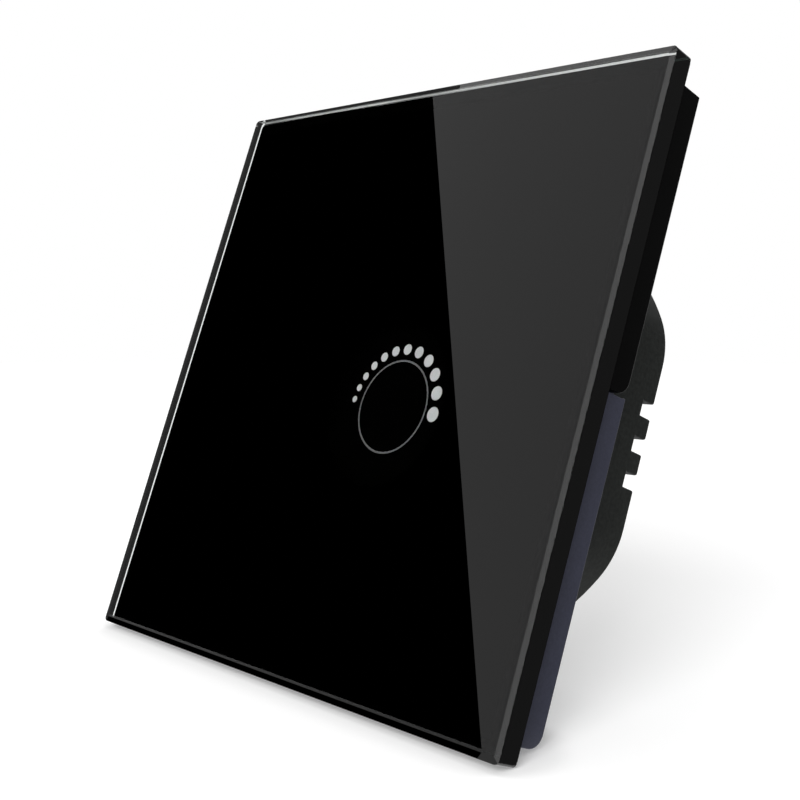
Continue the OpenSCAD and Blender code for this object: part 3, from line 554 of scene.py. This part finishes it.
def printed_glass(name):
    """Glass with ink on its back. Light that enters over plain black ink ends there, so its colour falls to
    black, and it is clear where more shows through: in the rim, by the larger of |x| and |z| from
    CLEAR_MIDDLE, and in a circle round the mark. The rim's clear band is off the middle, so the bright line
    it lets through is painted wider at the left and top, where the camera sees it. At its very foot the
    glass is painted black, as shade where it stands in its own shadow on the floor. By its y a point is on
    the front, on a side or on the arris."""
    made, tree, shader, place = new_material(name)
    point = add(tree, "ShaderNodeSeparateXYZ", {0: place}).outputs
    middle = (CLEAR_MIDDLE[0] * MM, 0, CLEAR_MIDDLE[1] * MM)
    off = add(tree, "ShaderNodeVectorMath", {0: place, 1: middle}, operation="SUBTRACT").outputs[0]
    away = add(tree, "ShaderNodeVectorMath", {0: off}, operation="ABSOLUTE").outputs[0]
    apart = add(tree, "ShaderNodeSeparateXYZ", {0: away}).outputs
    larger = add(tree, "ShaderNodeMath", {0: apart["X"], 1: apart["Z"]}, operation="MAXIMUM").outputs[0]
    reach = add(tree, "ShaderNodeVectorMath", {0: place, 1: mark_middle}, operation="DISTANCE")
    shares = []
    for value, limits in ((larger, CLEAR_RIM), (point["Z"], PAINTED_FOOT_SHADE),
                          (reach.outputs["Value"], CLEAR_ROUND_MARK)):
        ramp = {"Value": value, "From Min": limits[0] * MM, "From Max": limits[1] * MM}
        share = add(tree, "ShaderNodeMapRange", ramp, interpolation_type="SMOOTHSTEP")
        shares.append(share.outputs["Result"])
    in_rim, above_painted_foot_shade, near_mark = shares
    # the black foot is painted shade, where the glass stands in its own shadow on the floor
    lit_rim = add(tree, "ShaderNodeMath", {0: in_rim, 1: above_painted_foot_shade}, operation="MULTIPLY").outputs[0]
    lit = add(tree, "ShaderNodeMath", {0: lit_rim, 1: near_mark}, operation="MAXIMUM").outputs[0]
    # light passes by the root of the colour
    shows = add(tree, "ShaderNodeMath", {0: lit, 1: 2.0}, operation="POWER").outputs[0]
    polished = {0: shows, 6: linear("#000000"), 7: clouded(tree, place, TINT_CLOUD, *FACE_TINT)}
    skin = add(tree, "ShaderNodeMix", polished, data_type="RGBA").outputs[2]
    side_start, arris_start = glass_low.y + (BEVEL[1] + INK_CONTACT) * MM, glass_back - ARRIS * MM
    for start, tint in ((side_start, SIDE_TINT), (arris_start, ARRIS_TINT)):
        past = add(tree, "ShaderNodeMath", {0: point["Y"], 1: start}, operation="GREATER_THAN").outputs[0]
        layers = {0: past, 6: skin, 7: clouded(tree, place, TINT_CLOUD, *tint)}
        skin = add(tree, "ShaderNodeMix", layers, data_type="RGBA").outputs[2]
    on_arris = past
    noise = {"Vector": place, "Scale": 1 / (WAVE_WIDTH * MM), "Detail": 1.0}
    scratches = add(tree, "ShaderNodeTexNoise", noise).outputs["Fac"]
    stoned = add(tree, "ShaderNodeMath", {0: on_arris, 1: scratches}, operation="MULTIPLY").outputs[0]
    rough = add(tree, "ShaderNodeMath", {0: stoned, 1: STONED_ROUGH}, operation="MULTIPLY")
    passed = add(tree, "ShaderNodeMapRange", {"Value": on_arris, "To Min": 1.0, "To Max": 1 - STONED_WHITE})
    tree.links.new(skin, shader.inputs["Base Color"])
    tree.links.new(rough.outputs[0], shader.inputs["Roughness"])
    tree.links.new(passed.outputs["Result"], shader.inputs["Transmission Weight"])
    shader.inputs["IOR"].default_value = GLASS_INDEX
    return made


# Float glass over black ink: a sharp dark mirror with grey bevels, and a bright line where the ground arris
# lets in the light from behind. At its very foot the glass is painted black, as shade where it stands on
# the floor.
float_glass = printed_glass("polished_float_glass")
place_piece("glass_plate", glass_mesh, [float_glass], "glass_panel")

# Camera
# It stands low and to the right of the switch, which leans back on its lower edges, and looks slightly
# down on the floor.
PHOTO_SIZE = 800
LENS, SENSOR = 57.5, 36.0
NEAREST, FARTHEST = 5.0, 20000.0
LEAN = math.radians(20.55)
camera_place = Vector((126.894, -109.435, -28.460)) * MM
camera_aim = Vector((10.912, -8.502, -3.094)) * MM
floor_up = Vector((0, -math.sin(LEAN), math.cos(LEAN)))
ahead = (camera_aim - camera_place).normalized()
right = ahead.cross(floor_up).normalized()
above = right.cross(ahead)
camera = bpy.data.objects.new("camera", bpy.data.cameras.new("camera"))
camera.data.lens, camera.data.sensor_width = LENS, SENSOR
camera.data.clip_start, camera.data.clip_end = NEAREST * MM, FARTHEST * MM
turned = Matrix((right, above, -ahead)).transposed().to_4x4()
camera.matrix_world = Matrix.Translation(camera_place) @ turned
bpy.context.scene.collection.objects.link(camera)
bpy.context.scene.camera = camera

# Floor
# A round white sheet under the leaning switch. It keeps the shadow, and it is lifted to white where the
# camera or glass sees it, less so close to the switch, which paints a contact shadow there. From below it
# isn't there.
FLOOR_R, FLOOR_SIDES = 900.0, 96
FLOOR_LIFT = 0.36
# the painted contact shadow: within CONTACT_REACH, traced by CONTACT_RAYS, the glow falls to CONTACT_SHARE
# of FLOOR_LIFT where no more of the sky is open than the first of CONTACT_SKY, and is full above the second
CONTACT_REACH, CONTACT_SKY, CONTACT_SHARE, CONTACT_RAYS = 8.0, (0.70, 0.86), 0.6, 16
SEEN_BY = ("Is Glossy Ray", "Is Transmission Ray")
floor_point = Vector((0, glass_high.y, glass_low.z))
floor_across = Vector((1, 0, 0))
floor_along = floor_up.cross(floor_across)
floor_turn = np.linspace(0, 2 * np.pi, FLOOR_SIDES, endpoint=False)[:, None]
floor_out = np.cos(floor_turn) * np.array(floor_across) + np.sin(floor_turn) * np.array(floor_along)
floor_rim = floor_out * FLOOR_R * MM + np.array(floor_point)


def seen(tree):
    """1 for what the camera shows, straight, in a mirror or through glass, and 0 for light on its way to a
    surface."""
    path = add(tree, "ShaderNodeLightPath").outputs
    shown = path["Is Camera Ray"]
    for way in SEEN_BY:
        shown = add(tree, "ShaderNodeMath", {0: shown, 1: path[way]}, operation="MAXIMUM").outputs[0]
    return shown


def plain_material(name):
    """A material whose surface is still to be made: its node tree, and the socket that takes it."""
    made = bpy.data.materials.new(name)
    made.use_nodes = True
    made.node_tree.nodes.remove(made.node_tree.nodes["Principled BSDF"])
    return made, made.node_tree, made.node_tree.nodes["Material Output"].inputs["Surface"]


def white_floor(name, colour):
    """A pale matt sheet that glows by FLOOR_LIFT where it is seen. The glow falls to CONTACT_SHARE of that
    where, within CONTACT_REACH, little of the sky is open, which paints a contact shadow close to what
    stands on it. A mirror sees it plain white, and from its back it is clear."""
    made, tree, surface = plain_material(name)
    matt = add(tree, "ShaderNodeBsdfDiffuse", {"Color": linear(colour)})
    around = {"Distance": CONTACT_REACH * MM}
    sky = add(tree, "ShaderNodeAmbientOcclusion", around, samples=CONTACT_RAYS).outputs["AO"]
    contact_shade = {"Value": sky, "From Min": CONTACT_SKY[0], "From Max": CONTACT_SKY[1],
               "To Min": FLOOR_LIFT * CONTACT_SHARE, "To Max": FLOOR_LIFT}
    lift = add(tree, "ShaderNodeMapRange", contact_shade).outputs["Result"]
    strength = add(tree, "ShaderNodeMath", {0: seen(tree), 1: lift}, operation="MULTIPLY").outputs[0]
    glow = add(tree, "ShaderNodeEmission", {"Strength": strength})
    lifted = add(tree, "ShaderNodeAddShader", {0: matt.outputs[0], 1: glow.outputs[0]})
    mirrored = add(tree, "ShaderNodeLightPath").outputs["Is Glossy Ray"]
    plain = add(tree, "ShaderNodeEmission", {"Strength": 1.0})
    upper = add(tree, "ShaderNodeMixShader", {0: mirrored, 1: lifted.outputs[0], 2: plain.outputs[0]})
    behind = add(tree, "ShaderNodeNewGeometry").outputs["Backfacing"]
    nothing = add(tree, "ShaderNodeBsdfTransparent")
    sheet = add(tree, "ShaderNodeMixShader", {0: behind, 1: upper.outputs[0], 2: nothing.outputs[0]})
    tree.links.new(sheet.outputs[0], surface)
    return made


# Matt white paper: soft shadows, a painted contact shadow close to the switch, and no line where it meets
# the white surround.
white_paper = white_floor("white_sheet", "#e6e6e6")
floor_mesh = bpy.data.meshes.new("floor")
floor_mesh.from_pydata(floor_rim, [], [list(range(FLOOR_SIDES))])
floor_mesh.materials.append(white_paper)
floor = bpy.data.objects.new("floor", floor_mesh)
bpy.context.scene.collection.objects.link(floor)

# Studio light
# A white surround and one large soft lamp at the front right. Cards that only reflections show give the
# glass its dark half with the straight bright edge, its bevels their tones and the sides their dark look.
WORLD_LEVEL = 0.6
KEY_STRENGTH, KEY_ANGLE = 2.1, math.radians(32)
KEY_SIDEWAYS, KEY_HEIGHT = math.radians(27), math.radians(33)
world = bpy.data.worlds.new("white_surround")
world.use_nodes = True
bpy.context.scene.world = world
in_view = seen(world.node_tree)
world_level = add(world.node_tree, "ShaderNodeMapRange", {"Value": in_view, "To Min": WORLD_LEVEL})
surround = world.node_tree.nodes["Background"]
surround.inputs["Color"].default_value = (1, 1, 1, 1)
world.node_tree.links.new(world_level.outputs["Result"], surround.inputs["Strength"])

to_key = floor_across * math.sin(KEY_SIDEWAYS) - floor_along * math.cos(KEY_SIDEWAYS)
to_key = to_key * math.cos(KEY_HEIGHT) + floor_up * math.sin(KEY_HEIGHT)
key = bpy.data.objects.new("key_lamp", bpy.data.lights.new("key_lamp", "SUN"))
key.data.energy, key.data.angle = KEY_STRENGTH, KEY_ANGLE
key.rotation_mode = "QUATERNION"
key.rotation_quaternion = to_key.to_track_quat("Z", "Y")
key.visible_glossy = False
bpy.context.scene.collection.objects.link(key)

# pixels of the photograph at the two ends of the bright edge, then places of cards in mm, and brightness
REFLECTION_TOP, REFLECTION_FOOT = (432, 88), (482, 755)
CARD_Y, CARD_BACK = -320.0, 60.0
CARD_FOOT, CARD_LINE, CARD_LOW, CARD_SPLIT, CARD_TOP = -190.0, -109.8, -104.8, 330.0, 1000.0
CARD_LEFT, CARD_DIM, CARD_STRIP, CARD_RIGHT = -900.0, -546.0, -160.0, -60.0
LOW_DIM, LOW_EDGE = -580.0, (-252.5, -146.0)
SIDE_NEAR, SIDE_FAR, SIDE_START, SIDE_TALL, SIDE_LIFT = 40.2, 750.0, -20.0, 750.0, 0.15
DARK, DIM, GREY, BRIGHT, STRIP, SIDE = 0.0, 0.22, 0.62, 1.4, 1.6, 0.13


def card(name, corners, level):
    """A flat card, given by its corners in mm, of an even brightness that only reflections show."""
    made, tree, surface = plain_material(name)
    glow = add(tree, "ShaderNodeEmission", {"Strength": level})
    tree.links.new(glow.outputs[0], surface)
    mesh = bpy.data.meshes.new(name)
    mesh.from_pydata([Vector(corner) * MM for corner in corners], [], [list(range(len(corners)))])
    mesh.materials.append(made)
    sheet = bpy.data.objects.new(name, mesh)
    bpy.context.scene.collection.objects.link(sheet)
    sheet.visible_camera = sheet.visible_diffuse = sheet.visible_shadow = False
    sheet.visible_transmission = sheet.visible_volume_scatter = False


def reflected(pixel):
    """Where, on the plane of the cards, the camera sees a pixel of the photograph in the front of the
    glass: the ray through the pixel meets the glass, and there its y turns round."""
    across, down = ((place - PHOTO_SIZE / 2) / PHOTO_SIZE * SENSOR / LENS for place in pixel)
    ray = ahead + across * right - down * above
    on_glass = camera_place + ray * (glass_low.y - camera_place.y) / ray.y
    ray.y = -ray.y
    return (on_glass + ray * (CARD_Y * MM - on_glass.y) / ray.y) / MM


edge_top, edge_foot = reflected(REFLECTION_TOP), reflected(REFLECTION_FOOT)


def edge_at(z):
    """The x of the bright edge on the plane of the cards: the line through its top and its foot."""
    return edge_foot.x + (edge_top.x - edge_foot.x) * (z - edge_foot.z) / (edge_top.z - edge_foot.z)


def low_edge_at(z):
    """The same under the foot of the dark card: the line from there to LOW_EDGE, in the lower bevel."""
    share = (CARD_LOW - z) / (CARD_LOW - LOW_EDGE[1])
    return edge_at(CARD_LOW) + (LOW_EDGE[0] - edge_at(CARD_LOW)) * share


def front_card(name, sides, foot, top, level):
    """A card on the plane in front of the glass, from foot to top. Each of its two sides is an x, or a
    function that gives the x at a height z."""
    corners = []
    for z, order in ((foot, sides), (top, sides[::-1])):
        corners += [(side(z) if callable(side) else side, CARD_Y, z) for side in order]
    card(name, corners, level)


def by_floor(x, along, up):
    """A point given by its distances in mm across, along and above the floor, from the glass's foot."""
    return floor_point / MM + floor_across * x + floor_along * along + floor_up * up


# the face shows the dark, dim, grey and bright cards, the bevels the strip and the low ones, and the
# meeting of face and lower bevel the line card
front_card("dark_card", (CARD_DIM, edge_at), CARD_LOW, CARD_SPLIT, DARK)
front_card("line_card", (CARD_LEFT, CARD_STRIP), CARD_LINE, CARD_LOW, GREY)
front_card("low_dim_card", (CARD_LEFT, LOW_DIM), CARD_FOOT, CARD_LINE, DIM)
front_card("low_dark_card", (LOW_DIM, low_edge_at), CARD_FOOT, CARD_LINE, DARK)
front_card("dim_card", (CARD_LEFT, CARD_DIM), CARD_LOW, CARD_SPLIT, DIM)
front_card("upper_dim_card", (CARD_LEFT, edge_at), CARD_SPLIT, CARD_TOP, DIM)
front_card("grey_card", (edge_at, CARD_STRIP), CARD_LOW, CARD_SPLIT, GREY)
front_card("low_grey_card", (low_edge_at, CARD_STRIP), CARD_FOOT, CARD_LINE, GREY)
front_card("bright_card", (edge_at, CARD_STRIP), CARD_SPLIT, CARD_TOP, BRIGHT)
front_card("strip_card", (CARD_STRIP, CARD_RIGHT), CARD_FOOT, CARD_TOP, STRIP)
card("left_card", [(CARD_LEFT, CARD_Y, CARD_FOOT), (CARD_LEFT, CARD_Y, CARD_TOP),
                   (CARD_LEFT, CARD_BACK, CARD_TOP), (CARD_LEFT, CARD_BACK, CARD_FOOT)], DIM)
# the right sides show a dark card on the floor and one that stands behind it
side_floor = [(SIDE_NEAR, SIDE_START), (SIDE_FAR, SIDE_START), (SIDE_FAR, SIDE_FAR), (SIDE_NEAR, SIDE_FAR)]
card("side_floor_card", [by_floor(x, along, SIDE_LIFT) for x, along in side_floor], SIDE)
card("side_card", [by_floor(SIDE_FAR, SIDE_START, SIDE_LIFT), by_floor(SIDE_START, SIDE_FAR, SIDE_LIFT),
                   by_floor(SIDE_START, SIDE_FAR, SIDE_TALL),
                   by_floor(SIDE_FAR, SIDE_START, SIDE_TALL)], SIDE)
bpy.context.scene.view_settings.view_transform = "Standard"
